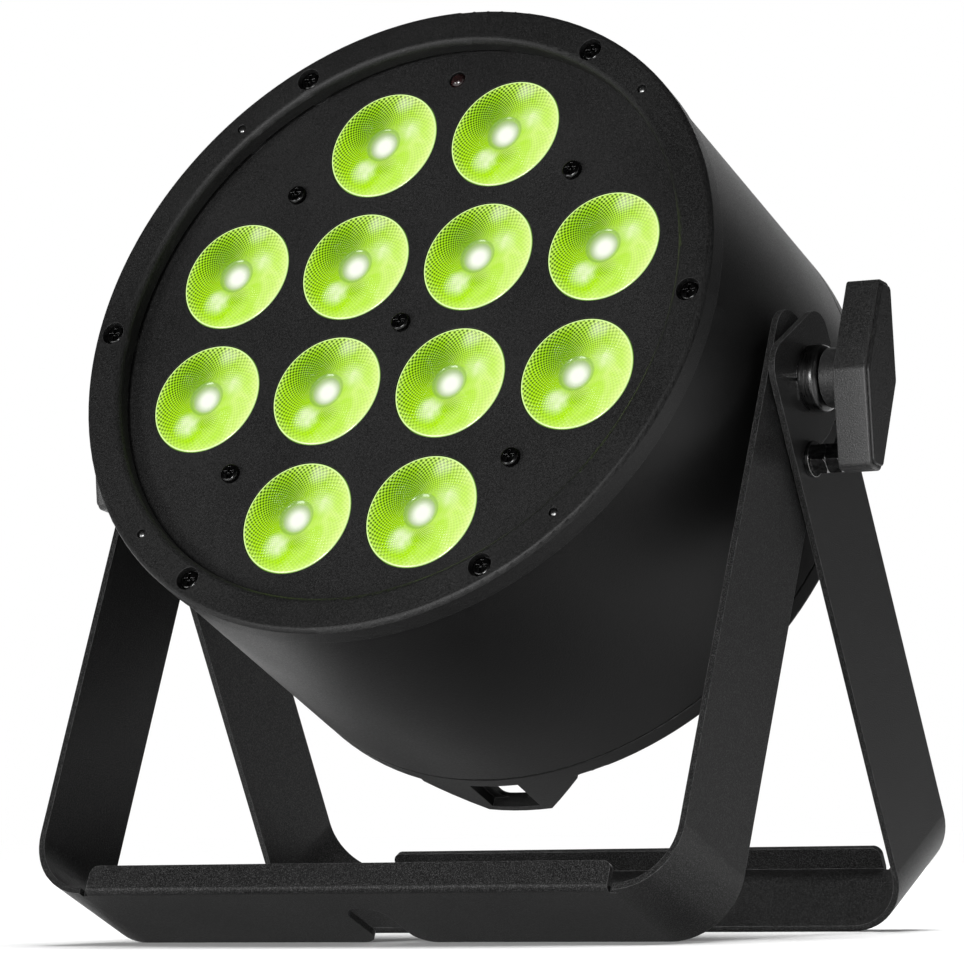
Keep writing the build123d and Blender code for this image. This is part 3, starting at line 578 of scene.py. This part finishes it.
# %% Finish the lens
hot = larger(times(lens_spot(-0.26, -0.5, 0.0, 0.3), 0.95), times(lens_spot(0.46, 0.24, 0.0, 0.3), 0.5))
hot = larger(hot, times(lens_spot(0.25, 0.78, 0.0, 0.25), 0.55))
hot = times(hot, spread(lens_glow, waves, 0.3, 0.62, 0.45, 1.0))
glow = blend_colours(lens_glow, hot, glow, (1.0, 1.0, 0.82, 1))
in_disc = sums(lens_glow, "SUBTRACT", 1.0, step(radius, 0.22, 0.31))
disc_white = blend_colours(lens_glow, lens_spot(0.02, -0.03, 0.08, 0.2),
                           (0.34, 0.45, 0.2, 1), (1.0, 1.0, 0.94, 1))
glow = blend_colours(lens_glow, in_disc, glow, disc_white)
lip = times(step(radius, 0.26, 0.29), sums(lens_glow, "SUBTRACT", 1.0, step(radius, 0.3, 0.335)))
glow = blend_colours(lens_glow, times(lip, 0.5), glow, (0.2, 0.32, 0.1, 1))
glow = blend_colours(lens_glow, step(radius, 0.962, 0.975), glow, (0.78, 1.0, 0.42, 1))
glow = blend_colours(lens_glow, step(radius, 0.985, 1.0), glow, (0.07, 0.19, 0.0, 1))
lens_glow.node_tree.links.new(glow, lens_shader.inputs["Emission Color"])
lens_shader.inputs["Emission Strength"].default_value = 1.0
lens_shader.inputs["Base Color"].default_value = (0.02, 0.05, 0.0, 1)
lens_shader.inputs["Coat Weight"].default_value = 0.4
lens_shader.inputs["Coat Roughness"].default_value = 0.08
lens_glow.node_tree.links.new(spread(lens_glow, waves, 0.3, 0.7, 0.14, 0.24), lens_shader.inputs["Roughness"])
dimple_relief = add(lens_glow, "Bump", {"invert": True}, Height=dimples, Distance=0.08 * MM, Strength=0.7)
lens_glow.node_tree.links.new(dimple_relief.outputs[0], lens_shader.inputs["Normal"])
beam_lenses.data.materials.append(lens_glow)
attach(beam_lenses, "head")
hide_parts("lenses")
print("lens nodes:", len(lens_glow.node_tree.nodes))

# %% [markdown]
# ## The floor's finish
# Painted studio floors are never quite even, so the pale paint gets a faint mottle.

# %% Paint the floor
floor_paint, floor_shader = start_finish("floor_paint")
floor_tone = spread(floor_paint, speckle(floor_paint, 60.0, 3.0), 0.3, 0.7, 0.0, 1.0)
floor_paint.node_tree.links.new(blend_colours(floor_paint, floor_tone, grey(0.9), grey(0.93)),
                                floor_shader.inputs["Base Color"])
floor_shader.inputs["Roughness"].default_value = 0.7
floor_shader.inputs["Specular IOR Level"].default_value = 0.2
floor.data.materials.append(floor_paint)

# %% [markdown]
# ## Bring the scene up to date
# The last cell brings the scene up to date.

# %% Update the scene
bpy.context.view_layer.update()
